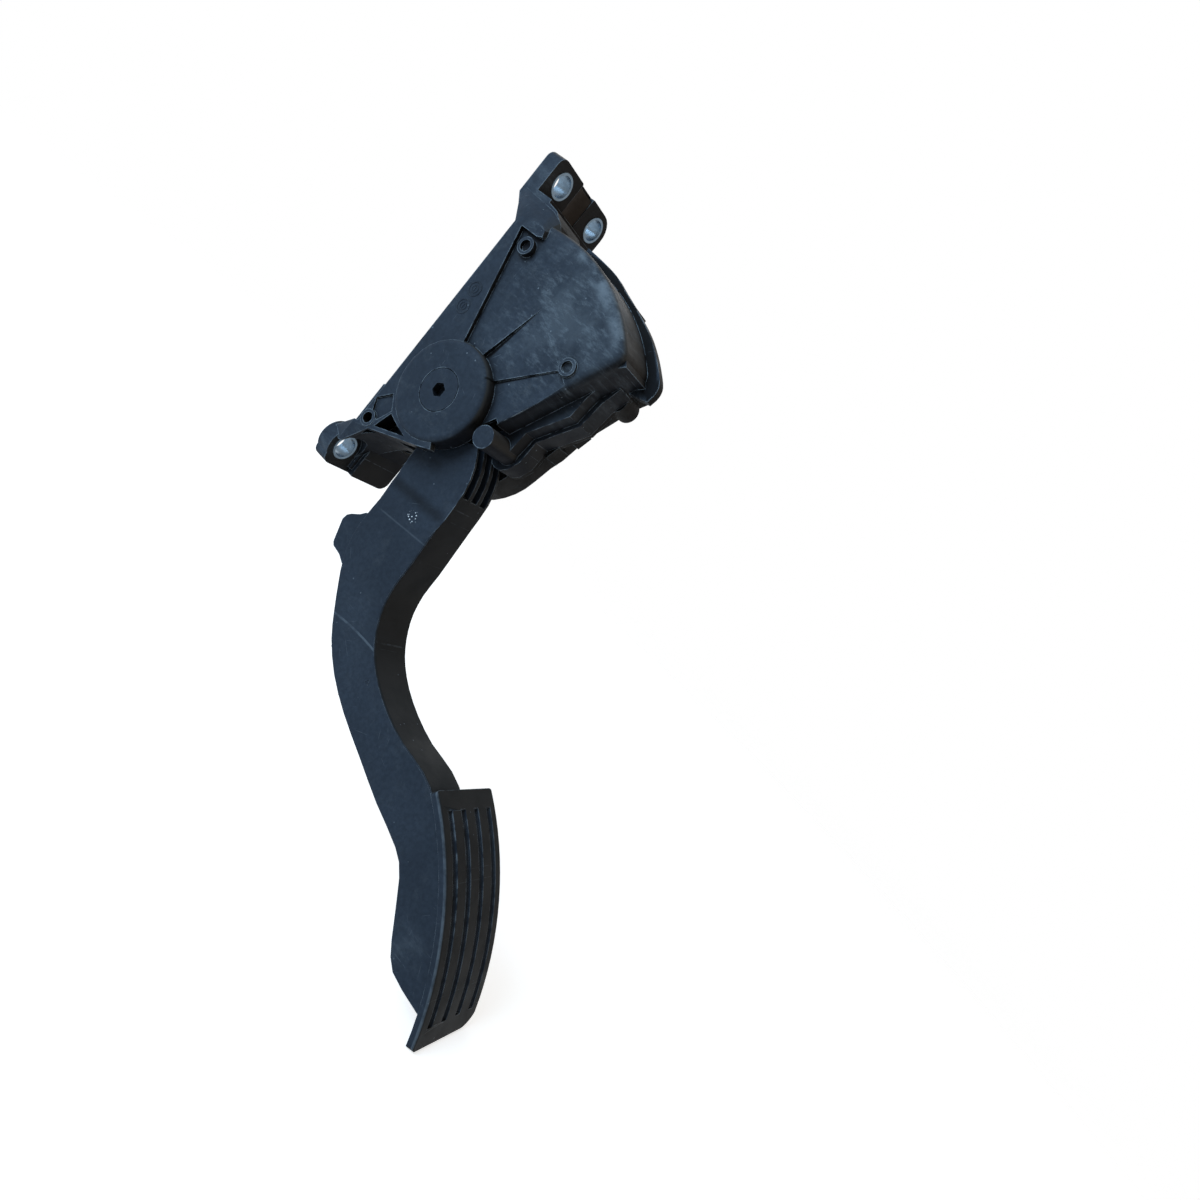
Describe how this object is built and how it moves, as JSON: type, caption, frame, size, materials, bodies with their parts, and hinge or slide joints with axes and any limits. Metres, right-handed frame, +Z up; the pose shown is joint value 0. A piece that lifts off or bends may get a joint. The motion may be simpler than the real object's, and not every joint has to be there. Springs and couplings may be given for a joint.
{
  "type": "accelerator pedal module",
  "caption": "Hanging accelerator pedal with a curved plastic arm, grooved pad, ribbed sector-shaped spring housing, bulkhead lugs with steel sleeves and a contactless position sensor.",
  "frame": {"origin": "centre of the lower stud hole's sleeve, on the mounting face", "axes": "+X to the driver's right, along the pivot; +Y forward, out of the mounting face into the bulkhead; +Z up along the mounting face"},
  "size_m": [0.057, 0.2038, 0.2746],
  "materials": {
    "housing_plastic": "moulded glass-filled nylon, fine grain, dusty",
    "arm_plastic": "moulded glass-filled nylon, satin",
    "cover_plastic": "moulded plastic, matt",
    "sleeve_steel": "bright zinc plated",
    "pin_steel": "dark phosphated steel",
    "bearing_plastic": "smooth acetal",
    "seat_plastic": "natural nylon",
    "spring_steel": "drawn wire",
    "shoe_plastic": "friction grade nylon",
    "rubber": "matt",
    "screw_steel": "zinc plated",
    "board_laminate": "solder mask",
    "chip_black": "moulded package",
    "capacitor_ceramic": "ceramic",
    "contact_tin": "tin plated",
    "magnet_ferrite": "sintered"
  },
  "bodies": {
    "base": {"housing": "housing_plastic", "upper_left_sleeve": "sleeve_steel", "upper_right_sleeve": "sleeve_steel", "lower_sleeve": "sleeve_steel", "left_bush": "bearing_plastic", "right_bush": "bearing_plastic", "fixed_spring_seat": "seat_plastic", "outer_return_spring": "spring_steel", "inner_return_spring": "spring_steel", "idle_buffer": "rubber", "sensor_cover": "cover_plastic", "sensor_lid": "cover_plastic", "cover_screws": "screw_steel", "circuit_board": "board_laminate", "hall_sensors": "chip_black", "board_capacitors": "capacitor_ceramic", "connector_pins": "contact_tin"},
    "pedal": {"pedal_arm": "arm_plastic", "pivot_pin": "pin_steel", "spring_cup": "seat_plastic", "friction_shoe": "shoe_plastic", "magnet_holder": "seat_plastic", "magnet": "magnet_ferrite"}
  },
  "joints": [
    {"name": "pedal_press", "type": "hinge", "parent": "base", "child": "pedal", "pos_m": [0.00625, -0.0384, 0.0464], "axis": [1, 0, 0], "range_deg": [0, 16], "stiffness_Nm_per_rad": 22, "springref_deg": -8.59, "deforming": ["outer_return_spring", "inner_return_spring"]}
  ]
}
